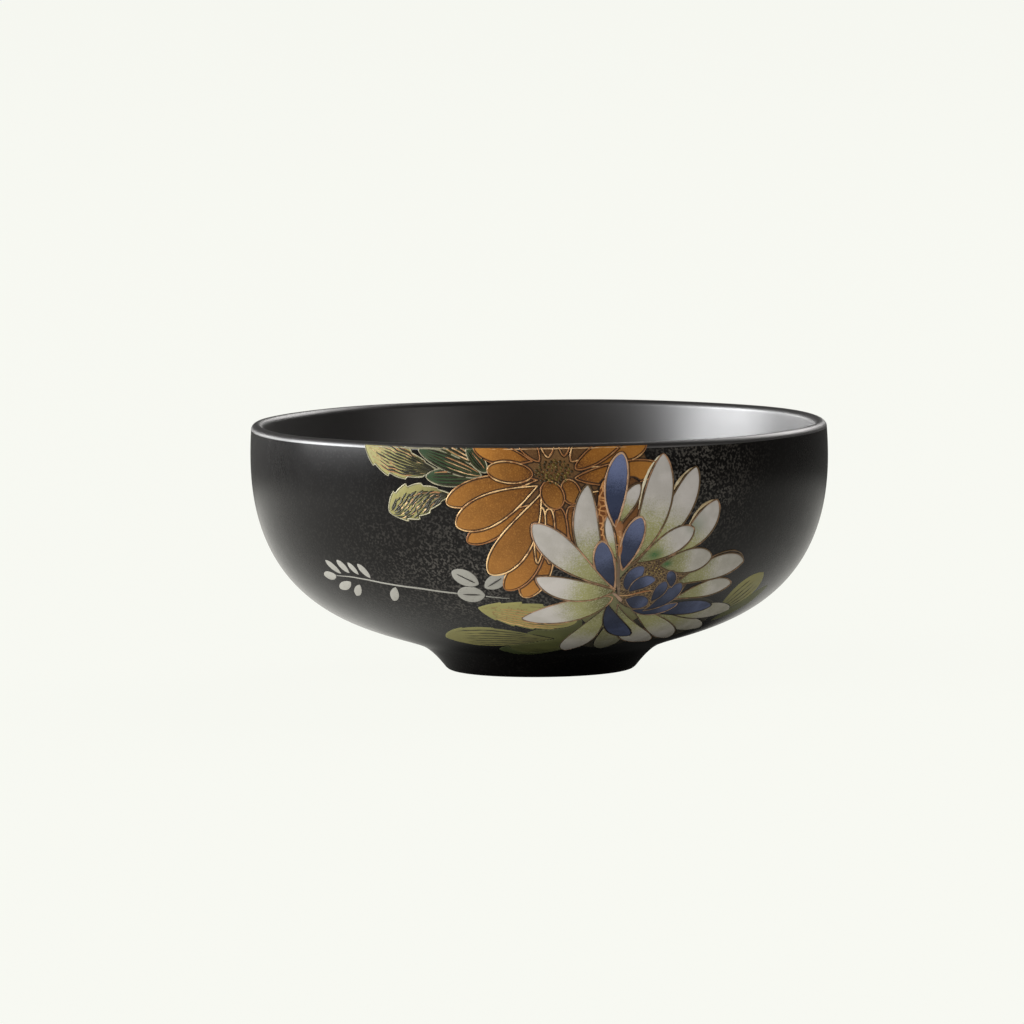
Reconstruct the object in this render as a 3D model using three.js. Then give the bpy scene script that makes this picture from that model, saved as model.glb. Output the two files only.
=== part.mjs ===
// A small footed tea cup, wheel-thrown and fired in one piece of dark stoneware.
// Millimetres, +Z up. The origin is the centre of the foot ring's resting face, and the
// decorated front of the cup looks towards -Y.

import * as THREE from "three";

// Sizes over the outside
const wallDiameter = 92; // over the widest place of the wall, just under the lip
const cupHeight = 39.5; // resting face to the top of the lip
const widestHeight = 34.2; // where the outer wall stands exactly upright
const lipTuck = 0.15; // how far the lip leans in from the widest place

// The belly is one smooth curve from the widest place down to the neck above the foot
const bellyDrop = 25.6; // how far the wall keeps dropping before it turns in
const underReach = 7; // how far the underside keeps its slope out from the neck
const underSlope = THREE.MathUtils.degToRad(22.3); // slope of the underside at the neck
const neckRadius = 19.2;
const neckHeight = 4.1;

// Walls
const lipThickness = 1.9;
const wallThickness = 2.7;
const floorThickness = 3.3;
const floorBendRise = 0.7; // height over the floor at which the inner wall eases into it

// Foot ring
const footRadius = 14.8; // outer corner of the resting face, before it is eased
const footEase = 0.8; // length taken off each side of the ring's outer corner
const innerEase = 0.4; // the same for the ring's inner corner
const recessEase = 0.8; // the same where the ring meets the recess
const neckCurl = 1.9; // how far the underside runs on past the neck before the foot drops
const ringWidth = 3.4; // outer corner to inner corner of the ring
const recessDepth = 2.6;
const recessDraft = 0.9; // how far the ring's inner side leans in over the recess

// Fineness of the facets
const turns = 60; // facets round the cup
const bellySteps = 16;
const leanSteps = 3;
const lipSteps = 8;
const footSteps = 5;
const easeSteps = 3;
const bendSteps = 4;

const point = (radius, height) => new THREE.Vector2(radius, height);

const towards = (from, to, distance) =>
  from.clone().add(to.clone().sub(from).setLength(distance));

// A curve that leaves one run for the corner and arrives along the other run.
const throughCorner = (from, corner, to, steps) =>
  new THREE.QuadraticBezierCurve(from, corner, to).getPoints(steps);

const widest = point(wallDiameter / 2, widestHeight);
const neck = point(neckRadius, neckHeight);
const alongUnderside = point(Math.cos(underSlope), Math.sin(underSlope));

// The outer wall from its widest place down to the neck.
const belly = new THREE.CubicBezierCurve(
  widest,
  point(widest.x, widestHeight - bellyDrop),
  neck.clone().addScaledVector(alongUnderside, underReach),
  neck,
);

// The foot from the centre of the recess, round the ring and up to just under the neck.
function footOutline() {
  const footTop = neck.clone().addScaledVector(alongUnderside, -neckCurl);
  const outerCorner = point(footRadius, 0);
  const innerCorner = point(footRadius - ringWidth, 0);
  const recessCorner = point(innerCorner.x - recessDraft, recessDepth);
  const flankEnd = towards(outerCorner, footTop, footEase);
  return [
    point(0, recessDepth),
    ...throughCorner(
      point(recessCorner.x - recessEase, recessDepth),
      recessCorner,
      towards(recessCorner, innerCorner, recessEase),
      easeSteps,
    ),
    ...throughCorner(
      towards(innerCorner, recessCorner, innerEase),
      innerCorner,
      point(innerCorner.x + innerEase, 0),
      easeSteps,
    ),
    ...throughCorner(
      point(footRadius - footEase, 0),
      outerCorner,
      flankEnd,
      easeSteps,
    ),
    ...throughCorner(flankEnd, footTop, neck, footSteps).slice(1, -1),
  ];
}

// The lip from just over the widest place: the wall leans in a little, half a circle
// rounds it over, and the inner side runs down to where the wall has its full thickness.
function lipOutline() {
  const half = lipThickness / 2;
  const centre = point(widest.x - lipTuck - half, cupHeight - half);
  const rounded = Array.from({ length: lipSteps + 1 }, (_, i) => {
    const turn = (i / lipSteps) * Math.PI;
    return point(
      centre.x + half * Math.cos(turn),
      centre.y + half * Math.sin(turn),
    );
  });
  const leanHeight = (widestHeight + centre.y) / 2;
  const fullWall = point(widest.x - wallThickness, widestHeight);
  return [
    ...throughCorner(
      widest,
      point(widest.x, leanHeight),
      rounded[0],
      leanSteps,
    ).slice(1, -1),
    ...rounded,
    ...throughCorner(
      rounded[lipSteps],
      point(fullWall.x, leanHeight),
      fullWall,
      leanSteps,
    ).slice(1, -1),
  ];
}

// The belly's curve set in by the thickness of the wall.
function innerWall(t) {
  const along = belly.getTangent(t);
  return belly
    .getPoint(t)
    .add(point(along.y, -along.x).multiplyScalar(wallThickness));
}

// The share of the belly's curve at which the inner wall comes down to a height.
function innerWallReaches(height) {
  let above = 0;
  let below = 1;
  while (below - above > 1e-6) {
    const middle = (above + below) / 2;
    if (innerWall(middle).y > height) above = middle;
    else below = middle;
  }
  return above;
}

// The inside from where the lip ends: the inner wall, then a soft bend into a flat floor.
function innerOutline() {
  const floorHeight = recessDepth + floorThickness;
  const bendShare = innerWallReaches(floorHeight + floorBendRise);
  const wall = Array.from({ length: bellySteps + 1 }, (_, i) =>
    innerWall((i / bellySteps) * bendShare),
  );
  const bendStart = wall[bellySteps];
  const slope = belly.getTangent(bendShare);
  const bendCorner = bendStart
    .clone()
    .addScaledVector(slope, (floorHeight - bendStart.y) / slope.y);
  const bendLength = bendStart.distanceTo(bendCorner);
  const bendEnd = point(bendCorner.x - bendLength, floorHeight);
  return [
    ...wall,
    ...throughCorner(bendStart, bendCorner, bendEnd, bendSteps).slice(1),
    point(0, floorHeight),
  ];
}

function cupGeometry() {
  const outline = [
    ...footOutline(),
    ...belly.getPoints(bellySteps).reverse(),
    ...lipOutline(),
    ...innerOutline(),
  ];
  const geometry = new THREE.LatheGeometry(outline, turns);
  geometry.rotateX(Math.PI / 2);
  return geometry;
}

const blackStoneware = new THREE.MeshStandardMaterial({
  color: 0x262322,
  roughness: 0.62,
  metalness: 0,
});

const cup = new THREE.Mesh(cupGeometry(), blackStoneware);
cup.name = "cup";

const teaCup = new THREE.Group();
teaCup.add(cup);

export default teaCup;
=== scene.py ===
# A small footed tea cup of black stoneware, its front painted with two chrysanthemums,
# leaves and a grey sprig in enamel between raised gilt lines. Sizes are in millimetres
# and are scaled to metres as each mesh is made. The decorated front looks towards -Y.
from math import comb

import bmesh
import bpy
import numpy as np
from mathutils import Matrix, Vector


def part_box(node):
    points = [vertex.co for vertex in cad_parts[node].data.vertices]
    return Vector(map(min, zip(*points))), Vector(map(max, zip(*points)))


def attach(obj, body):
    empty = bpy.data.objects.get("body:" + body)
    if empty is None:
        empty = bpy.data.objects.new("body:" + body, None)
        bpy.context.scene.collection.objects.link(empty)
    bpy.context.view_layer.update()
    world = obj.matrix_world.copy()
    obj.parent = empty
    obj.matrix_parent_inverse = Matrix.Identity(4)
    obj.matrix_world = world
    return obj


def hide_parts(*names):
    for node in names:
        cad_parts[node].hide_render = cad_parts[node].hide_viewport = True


MM = 0.001
DOUBLE_REACH = 0.002  # points nearer than this are one

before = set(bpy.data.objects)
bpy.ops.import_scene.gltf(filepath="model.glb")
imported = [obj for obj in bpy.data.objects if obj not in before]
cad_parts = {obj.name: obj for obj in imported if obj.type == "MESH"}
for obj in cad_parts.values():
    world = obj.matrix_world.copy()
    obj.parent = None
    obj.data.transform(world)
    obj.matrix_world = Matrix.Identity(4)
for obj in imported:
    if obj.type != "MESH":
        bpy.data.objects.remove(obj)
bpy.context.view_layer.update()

# Camera
# The photograph looks down on the cup by five degrees from well back, with a long lens,
# and the cup stands a little right of the middle.
CAMERA_DISTANCE = 1700
CAMERA_DROP = np.radians(5.061)
CAMERA_ROLL = np.radians(-0.485)
CAMERA_AIM = np.array([-4.417, 0, 25.035])
SENSOR_WIDTH = 36
LENS = 375.1
SIGHT_LIMIT = 20  # metres

camera_data = bpy.data.cameras.new("camera")
camera_data.sensor_width = SENSOR_WIDTH
camera_data.lens = LENS
camera_data.clip_end = SIGHT_LIMIT
camera = bpy.data.objects.new("camera", camera_data)
bpy.context.collection.objects.link(camera)
camera_offset = CAMERA_DISTANCE * np.array([0, -np.cos(CAMERA_DROP), np.sin(CAMERA_DROP)])
camera.matrix_world = (
    Matrix.Translation((CAMERA_AIM + camera_offset) * MM)
    @ Matrix.Rotation(np.pi / 2 - CAMERA_DROP, 4, "X")
    @ Matrix.Rotation(CAMERA_ROLL, 4, "Z")
)
bpy.context.scene.camera = camera
bpy.context.scene.view_settings.view_transform = "Standard"

# Cup
# The real cup is thrown on the wheel in one piece of dark clay and glazed black, matt and
# sandy outside, and smooth and glossy inside and over the lip. The foot ring's resting face
# is wiped bare.
rim_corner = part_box("cup")[1]
WALL_RADIUS = rim_corner.x / MM
CUP_HEIGHT = rim_corner.z / MM
WIDEST_HEIGHT = 34.2
LIP_TUCK = 0.15
BELLY_DROP = 25.6
UNDER_REACH = 7
UNDER_SLOPE = np.radians(22.3)
NECK = np.array([19.2, 4.1])
LIP_HALF = 0.95
WALL_THICKNESS = 2.7
INSIDE_LEAN = np.radians(3)  # slope of the inner wall just under the lip
INSIDE_RUN = 7.25  # how far down it would keep that slope
INSIDE_FROM = np.array([0.1])  # share of the belly's curve from which it runs beside it
FLOOR_THICKNESS = 3.3
FLOOR_BEND_RISE = 0.7
FOOT_RADIUS = 14.8
FOOT_EASE = 0.8
INNER_EASE = 0.4
RECESS_EASE = 0.8
NECK_CURL = 1.9
RING_WIDTH = 3.4
RECESS_DEPTH = 2.6
RECESS_DRAFT = 0.9
# Size, number of waves round the cup, and phase of what the wheel and the kiln left
SWELLS = ((0.0009, 2, 0.7), (0.0007, 5, 2.1))  # sizes are shares of the radius
LIFTS = ((0.05, 3, 1.0), (0.04, 7, 0.2))
ROUND_STEPS = 360  # facets round the cup
LIP_STEPS = 20  # facets over the lip's rounding
BARE_HEIGHT = 0.12  # the glaze is wiped off below this height
SANDY_AZIMUTH = np.radians(9)  # where the sandy patch faces, towards -X from the front
SANDY_SPREAD = np.radians(24)
SANDY_HEIGHT = 19
SANDY_REACH = 9
FAINT_TURN = np.radians(-41)  # from there to the middle of a narrower sandy patch
FAINT_HEIGHT = 34
FAINT_SPREAD = np.radians(10.733)
FAINT_SHARE = 1.4  # how high it is beside the first


def bezier(points, t):
    """A Bezier curve: each control point is weighted by its Bernstein polynomial in t."""
    points = np.asarray(points, float)
    degree = len(points) - 1
    t = np.asarray(t, float)[:, None]
    return sum(
        comb(degree, k) * (1 - t) ** (degree - k) * t**k * point
        for k, point in enumerate(points)
    )


def towards(start, end, distance):
    """The point that lies the distance from start on the way to end."""
    start, end = np.asarray(start, float), np.asarray(end, float)
    return start + (end - start) * distance / np.hypot(*(end - start))


def eased(start, corner, end, steps):
    """A quadratic curve that leaves start for the corner and arrives at end."""
    return bezier([start, corner, end], np.linspace(0, 1, steps + 1))


def straight(start, end, steps):
    """Evenly spaced points from start to end, without end itself."""
    share = np.arange(steps)[:, None] / steps
    return np.asarray(start, float) * (1 - share) + np.asarray(end, float) * share


under_direction = np.array([np.cos(UNDER_SLOPE), np.sin(UNDER_SLOPE)])
belly_controls = np.array([
    [WALL_RADIUS, WIDEST_HEIGHT],
    [WALL_RADIUS, WIDEST_HEIGHT - BELLY_DROP],
    NECK + UNDER_REACH * under_direction,
    NECK,
])


def inner_wall(t):
    """The belly's curve moved inwards, square to itself, by the wall's thickness."""
    along = 3 * bezier(np.diff(belly_controls, axis=0), t)
    along /= np.hypot(along[:, 0], along[:, 1])[:, None]
    return bezier(belly_controls, t) + WALL_THICKNESS * along[:, ::-1] * (1, -1)


def cup_profile():
    """The outline from the recess's centre round the foot, up the belly, over the lip and
    down the inside to the floor's centre, and where on it the lip's rounding begins. The
    last number given to each run is how many steps it has."""
    foot_top = NECK - NECK_CURL * under_direction
    outer = np.array([FOOT_RADIUS, 0])
    inner = np.array([FOOT_RADIUS - RING_WIDTH, 0])
    recess = np.array([inner[0] - RECESS_DRAFT, RECESS_DEPTH])
    recess_start = recess - (RECESS_EASE, 0)
    flank_end = towards(outer, foot_top, FOOT_EASE)
    ring_start = inner + (INNER_EASE, 0)
    ring_end = outer - (FOOT_EASE, 0)
    foot = [
        straight([0, RECESS_DEPTH], recess_start, 6),
        eased(recess_start, recess, towards(recess, inner, RECESS_EASE), 5),
        eased(towards(inner, recess, INNER_EASE), inner, ring_start, 5),
        straight(ring_start, ring_end, 4)[1:],
        eased(ring_end, outer, flank_end, 6),
        eased(flank_end, foot_top, NECK, 14)[1:-1],
    ]
    belly = bezier(belly_controls, np.linspace(1, 0, 71))
    lip_centre = np.array([WALL_RADIUS - LIP_TUCK - LIP_HALF, CUP_HEIGHT - LIP_HALF])
    lean_height = (WIDEST_HEIGHT + lip_centre[1]) / 2
    turn = np.linspace(0, np.pi, LIP_STEPS + 1)
    rounded = lip_centre + LIP_HALF * np.stack([np.cos(turn), np.sin(turn)], 1)
    inside_corner = rounded[-1] - INSIDE_RUN * np.array([np.tan(INSIDE_LEAN), 1])
    outer_lean = eased(belly[-1], [WALL_RADIUS, lean_height], rounded[0], 10)[1:-1]
    inner_lean = eased(rounded[-1], inside_corner, inner_wall(INSIDE_FROM)[0], 24)[1:-1]
    floor = RECESS_DEPTH + FLOOR_THICKNESS
    shares = np.linspace(0, 1, 400)
    heights = inner_wall(shares)[:, 1]
    bend_share = np.interp(-(floor + FLOOR_BEND_RISE), -heights, shares)
    inside = inner_wall(np.linspace(INSIDE_FROM[0], bend_share, 64))
    slope = np.diff(inner_wall(np.array([bend_share - 1e-4, bend_share])), axis=0)[0]
    bend_corner = inside[-1] + slope * (floor - inside[-1][1]) / slope[1]
    bend_end = bend_corner - (np.hypot(*(bend_corner - inside[-1])), 0)
    bowl = [
        inside,
        eased(inside[-1], bend_corner, bend_end, 10)[1:-1],
        straight(bend_end, [0, floor], 6),
        [[0, floor]],
    ]
    outside = np.concatenate(foot + [belly, outer_lean])
    return np.concatenate([outside, rounded, inner_lean] + bowl), len(outside)


def thrown(points):
    """Moves points as the wheel and the kiln left the wall: radius and height swing by sums
    of sine waves round the cup, which fade with the square of the height."""
    x, y, z = points[..., 0], points[..., 1], points[..., 2]
    angle = np.arctan2(x, -y)
    share = np.clip(z / CUP_HEIGHT, 0, 1) ** 2
    swell = sum(size * np.sin(count * angle + phase) for size, count, phase in SWELLS)
    lift = sum(size * np.sin(count * angle + phase) for size, count, phase in LIFTS)
    reach = 1 + swell * share
    return np.stack([x * reach, y * reach, z + lift * share], -1)


def grid_faces(rows, columns, loops=False):
    """Four corners for each cell of a grid, counter-clockwise from row towards column. The
    columns close up into a loop when loops is true."""
    across = np.arange(columns if loops else columns - 1)
    row, column = np.meshgrid(np.arange(rows - 1), across, indexing="ij")
    here, there = row * columns, (row + 1) * columns
    beside = (column + 1) % columns
    faces = np.stack([here + column, there + column, there + beside, here + beside], -1)
    return faces.reshape(-1, 4)


def make_piece(name, points, faces, fields, materials, outward=False, choice=0):
    """A mesh object from points in millimetres, with one float attribute for each field.
    Doubled points are merged, and open ends closed and turned outwards when asked. The
    choice is each face's number in the list of materials."""
    mesh = bpy.data.meshes.new(name)
    mesh.vertices.add(len(points))
    mesh.vertices.foreach_set("co", (points * MM).astype(np.float32).ravel())
    mesh.loops.add(faces.size)
    mesh.loops.foreach_set("vertex_index", faces.astype(np.int32).ravel())
    mesh.polygons.add(len(faces))
    mesh.polygons.foreach_set("loop_start", np.arange(0, faces.size, 4, dtype=np.int32))
    numbers = np.broadcast_to(choice, len(faces)).astype(np.int32)
    mesh.polygons.foreach_set("material_index", numbers)
    mesh.update(calc_edges=True)
    for field, values in fields.items():
        attribute = mesh.attributes.new(field, "FLOAT", "POINT")
        attribute.data.foreach_set("value", values.astype(np.float32).ravel())
    shape = bmesh.new()
    shape.from_mesh(mesh)
    bmesh.ops.remove_doubles(shape, verts=shape.verts, dist=DOUBLE_REACH * MM)
    loose = [vertex for vertex in shape.verts if not vertex.link_faces]
    bmesh.ops.delete(shape, geom=loose, context="VERTS")
    if outward:
        gaps = [edge for edge in shape.edges if edge.is_boundary]
        bmesh.ops.holes_fill(shape, edges=gaps, sides=0)
        bmesh.ops.recalc_face_normals(shape, faces=shape.faces)
    shape.to_mesh(mesh)
    shape.free()
    mesh.polygons.foreach_set("use_smooth", np.ones(len(mesh.polygons), bool))
    for material in materials:
        mesh.materials.append(material)
    piece = bpy.data.objects.new(name, mesh)
    bpy.context.collection.objects.link(piece)
    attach(piece, "root")
    return piece


class Finish:
    """A procedural material, wired up one node at a time. A value given to a node is a
    number, a colour or another node's output. Grains and heights are in millimetres."""

    def __init__(self, name, sockets):
        self.material = bpy.data.materials.new(name)
        self.material.use_nodes = True
        self.tree = self.material.node_tree
        self.shader = self.tree.nodes["Principled BSDF"]
        for socket, value in sockets.items():
            self.give(self.shader.inputs[socket], value)

    def give(self, socket, value):
        if isinstance(value, bpy.types.NodeSocket):
            self.tree.links.new(value, socket)
        elif hasattr(value, "__len__") and socket.type == "RGBA":
            socket.default_value = (*value, 1)
        else:
            socket.default_value = value

    def node(self, kind, inputs, output=0, **settings):
        made = self.tree.nodes.new("ShaderNode" + kind)
        for setting, value in settings.items():
            setattr(made, setting, value)
        for socket, value in inputs.items():
            self.give(made.inputs[socket], value)
        return made.outputs[output]

    def place(self):
        return self.node("TexCoord", {}, "Object")

    def field(self, name):
        return self.node("Attribute", {}, "Fac", attribute_name=name)

    def noise(self, grain, detail=2, roughness=0.5):
        """Noise whose blotches are about grain across."""
        inputs = {"Vector": self.place(), "Scale": 1 / (grain * MM)}
        inputs.update(Detail=detail, Roughness=roughness)
        return self.node("TexNoise", inputs, "Fac")

    def fit(self, value, low, high, start=0, end=1, smooth=True):
        """Carries value from the range low to high over to the range start to end."""
        inputs = {"Value": value, "From Min": low, "From Max": high}
        inputs.update({"To Min": start, "To Max": end})
        kind = "SMOOTHSTEP" if smooth else "LINEAR"
        return self.node("MapRange", inputs, interpolation_type=kind)

    def sum(self, first, second, operation="ADD"):
        return self.node("Math", {0: first, 1: second}, operation=operation)

    def mix(self, share, first, second):
        """A colour between first and second."""
        inputs = {"Factor": share, 6: first, 7: second}
        return self.node("Mix", inputs, 2, data_type="RGBA")

    def bump(self, height, distance, below=None):
        """Raises the surface, and what is below in it, by height times distance."""
        inputs = {"Height": height, "Distance": distance * MM}
        if below is not None:
            inputs["Normal"] = below
        return self.node("Bump", inputs)

    def wear(self, colour, roughness, normal=None):
        self.give(self.shader.inputs["Base Color"], colour)
        self.give(self.shader.inputs["Roughness"], roughness)
        if normal is not None:
            self.give(self.shader.inputs["Normal"], normal)
        return self.material


def outer_glaze():
    """Matt black glaze. Pale sandy grains lie in it, few over most of the wall and many where
    the sandy field is high, and the foot's resting face shows bare brown clay."""
    sockets = {"Specular IOR Level": 0.05, "Coat Weight": 1.0, "Coat Roughness": 0.2}
    finish = Finish("outer_black_glaze", {**sockets, "Coat IOR": 1.25})
    bare, sandy = finish.field("bare"), finish.field("sandy")
    grain = finish.noise(0.4, 1.5, 0.55)
    drift = finish.noise(3.2)
    cloud = finish.noise(9, 3, 0.55)
    patch = finish.noise(2.2)
    base = finish.mix(cloud, (0.0028, 0.0022, 0.002), (0.0046, 0.0038, 0.0035))
    few = finish.fit(grain, 0.52, 0.7, 0, 0.3)
    many = finish.sum(finish.fit(grain, 0.47, 0.62), sandy, "MULTIPLY")
    many = finish.sum(many, finish.fit(drift, 0.3, 0.6, 0.45, 1), "MULTIPLY")
    base = finish.mix(few, base, (0.022, 0.02, 0.018))
    base = finish.mix(many, base, (0.085, 0.078, 0.069))
    clay = finish.mix(finish.fit(patch, 0.4, 0.6), (0.075, 0.045, 0.03), (0.13, 0.085, 0.055))
    colour = finish.mix(bare, base, clay)
    gloss = finish.fit(patch, 0.3, 0.7, 0.5, 0.6)
    gloss = finish.node("Mix", {"Factor": bare, "A": gloss, "B": 0.9})
    normal = finish.bump(grain, 0.035)
    normal = finish.bump(finish.noise(4), 0.03, below=normal)
    return finish.wear(colour, gloss, normal)


def inner_glaze():
    """Smooth brown-black glaze on the inside and over the lip, glossy, with faint clouds."""
    sockets = {"Specular IOR Level": 1.0, "Coat Weight": 1.0, "Coat Roughness": 0.42}
    finish = Finish("inner_black_glaze", {**sockets, "Coat IOR": 1.8})
    cloud = finish.noise(12, 3, 0.55)
    grain = finish.noise(0.5)
    colour = finish.mix(cloud, (0.0065, 0.0055, 0.0052), (0.014, 0.0105, 0.009))
    gloss = finish.fit(cloud, 0.3, 0.7, 0.42, 0.5)
    normal = finish.bump(grain, 0.004)
    normal = finish.bump(finish.noise(7), 0.04, below=normal)
    return finish.wear(colour, gloss, normal)


def sandy_hill(swing, spread, height):
    """A soft round hill: its height falls off with the squares of both distances."""
    return np.exp(-((swing / spread) ** 2) - (height / SANDY_REACH) ** 2)


def throw_cup():
    """The profile carried round the axis: radius along the profile times the sine and the
    cosine of the turn, and height from the profile. The sandy field is two soft hills, one
    on the front of the wall and a narrower one just under the lip beside it."""
    profile, lip_from = cup_profile()
    turn = np.linspace(0, 2 * np.pi, ROUND_STEPS, endpoint=False)
    radius, height = profile[:, :1], profile[:, 1:]
    x, y = radius * np.sin(turn), -radius * np.cos(turn)
    points = thrown(np.stack([x, y, np.broadcast_to(height, x.shape)], -1))
    on_ring = (profile[:, 1] < BARE_HEIGHT) & (profile[:, 0] > FOOT_RADIUS - RING_WIDTH)
    swing = (turn + SANDY_AZIMUTH + np.pi) % (2 * np.pi) - np.pi
    sandy = sandy_hill(swing, SANDY_SPREAD, height - SANDY_HEIGHT)
    faint = sandy_hill(swing + FAINT_TURN, FAINT_SPREAD, height - FAINT_HEIGHT)
    sandy = np.maximum(sandy, FAINT_SHARE * faint)
    fields = {"bare": np.repeat(on_ring.astype(float), ROUND_STEPS), "sandy": sandy.ravel()}
    faces = grid_faces(len(profile), ROUND_STEPS, loops=True)
    glossy = np.repeat(np.arange(len(profile) - 1) >= lip_from, ROUND_STEPS)
    return make_piece(
        "thrown_cup", points.reshape(-1, 3), faces, fields, [outer_glaze(), inner_glaze()],
        outward=True, choice=glossy,
    )


cup = throw_cup()
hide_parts("cup")

# White chrysanthemum
# The front flower is painted in opaque white enamel that turns pale green at the roots,
# with blue petals among the white and a bud of blue petals at its heart. Each petal is a
# low pool of enamel inside a raised gilt line, fired onto the glaze.
SHEET_AZIMUTH = np.radians(6)  # where the middle of the decoration looks
SHEET_TILT = np.radians(-22)
SHEET_CENTRE = 34  # height of the point on the axis that the decoration is spread from
SHEET_LIP = 39.0  # the decoration is cut off at this height, on the lip's outer edge
ENAMEL_RISE = 0.09
ENAMEL_ROUNDING = 0.22
ENAMEL_FOOT = 0.04  # how far an enamel's edge is set into the glaze
GILT_HALF_WIDTH = 0.13
GILT_RISE = 0.12
GILT_FOOT = 0.07
GILT_STEP = 0.22
GILT_MOST = 1.2  # a line wider than this many widths rises no further
BRUSH_WAVES = np.array([2.3, 5.1])  # lengths of the waves in which a line swells
BRUSH_SWELL = 0.13
TUCK = 0.3  # how far a shape dives where another covers it
TUCK_RUN = 0.2  # width over which it dives
TUCK_LEAD = 0.02  # how far before the edge of what covers it an enamel starts to dive
LINE_LEAD = 0.05  # the same for a line
COVERED = 0.5  # further than this under another shape, nothing is kept
OPEN = -9.0  # the depth of a place that lies under nothing near
NEAR = 1  # depths are worked out this far round a shape
SHELL = 0.12  # thickness of an enamel's skin
LIP_MARGIN = 0.004  # angle that dots and lines keep below the lip's edge
# Middle, reach and strength of the soft green flushes that the white petals show
GREEN_FLUSHES = [
    ((13.4, 4.3), (1.3, 0.9), 1.0),
    ((15.7, 2.3), (0.8, 0.5), 1.0),
    ((20.4, 8.2), (1.6, 1.5), 0.45),
]

profile, lip_from = cup_profile()
outer_wall = profile[: lip_from + LIP_STEPS // 2]
outer_wall = outer_wall[outer_wall[:, 1] > NECK[1]]
wall_angle = np.arctan2(outer_wall[:, 1] - SHEET_CENTRE, outer_wall[:, 0])
wall_along = np.gradient(outer_wall, axis=0)
wall_along /= np.hypot(wall_along[:, 0], wall_along[:, 1])[:, None]
sheet_facing = np.array([
    np.sin(SHEET_AZIMUTH) * np.cos(SHEET_TILT),
    -np.cos(SHEET_AZIMUTH) * np.cos(SHEET_TILT),
    np.sin(SHEET_TILT),
])
sheet_right = np.array([np.cos(SHEET_AZIMUTH), np.sin(SHEET_AZIMUTH), 0])
sheet_up = np.cross(sheet_facing, sheet_right)
SHEET_RADIUS = np.interp(
    SHEET_TILT, wall_angle, np.hypot(outer_wall[:, 0], outer_wall[:, 1] - SHEET_CENTRE)
)
LIP_ANGLE = np.interp(SHEET_LIP, outer_wall[:, 1], wall_angle)


def bearing(places):
    """The direction from the sheet's centre in which a place on the flat sheet comes to lie:
    its distance from the sheet's middle becomes an angle, and its side stays."""
    reach = np.hypot(places[..., 0], places[..., 1]) + 1e-9
    angle = reach / SHEET_RADIUS
    side = places[..., :1] * sheet_right + places[..., 1:2] * sheet_up
    return np.cos(angle)[..., None] * sheet_facing + (np.sin(angle) / reach)[..., None] * side


def climb(places):
    """The angle at which a place's direction rises over the sheet's centre."""
    return np.arcsin(np.clip(bearing(places)[..., 2], -1, 1))


def on_wall(places, rise):
    """Lays places of the flat sheet on the cup's outer wall and raises them square to it.
    What would reach past the lip stops on the lip's edge."""
    direction = bearing(places)
    angle = np.minimum(climb(places), LIP_ANGLE)
    turn = np.arctan2(direction[..., 0], -direction[..., 1])
    radius = np.interp(angle, wall_angle, outer_wall[:, 0])
    height = np.interp(angle, wall_angle, outer_wall[:, 1])
    out = np.interp(angle, wall_angle, wall_along[:, 1])
    up = -np.interp(angle, wall_angle, wall_along[:, 0])
    radius, height = radius + rise * out, height + rise * up
    return thrown(np.stack([radius * np.sin(turn), -radius * np.cos(turn), height], -1))


def signed_depth(places, outline):
    """Distance to a closed outline, positive inside it: the least distance to its sides,
    with the sign from how many sides a level ray crosses."""
    depth = np.full(len(places), OPEN)
    low, high = outline.min(0) - NEAR, outline.max(0) + NEAR
    near = np.all((places > low) & (places < high), axis=1)
    point = places[near][:, None, :]
    start, end = outline[None], np.roll(outline, -1, 0)[None]
    side = end - start
    share = ((point - start) * side).sum(-1) / ((side**2).sum(-1) + 1e-12)
    nearest = start + np.clip(share, 0, 1)[..., None] * side
    distance = np.sqrt(((point - nearest) ** 2).sum(-1)).min(1)
    spans = (start[..., 1] > point[..., 1]) != (end[..., 1] > point[..., 1])
    reach = (point[..., 1] - start[..., 1]) / (side[..., 1] + 1e-12)
    crossed = spans & (point[..., 0] < start[..., 0] + reach * side[..., 0])
    inside = crossed.sum(1) % 2 == 1
    depth[near] = np.where(inside, distance, -distance)
    return depth


def smooth_step(value):
    """Rises from 0 to 1 as value does, without a corner at either end."""
    value = np.clip(value, 0, 1)
    return value * value * (3 - 2 * value)


laid = []  # outlines of the shapes already painted, the foremost first
rng = np.random.default_rng(7)  # the same strokes each run


def depth_under(places):
    """How deep places lie under the shapes already painted, negative in the open."""
    flat = places.reshape(-1, 2)
    depth = np.full(len(flat), OPEN)
    for outline in laid:
        depth = np.maximum(depth, signed_depth(flat, outline))
    return depth.reshape(places.shape[:-1])


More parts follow.
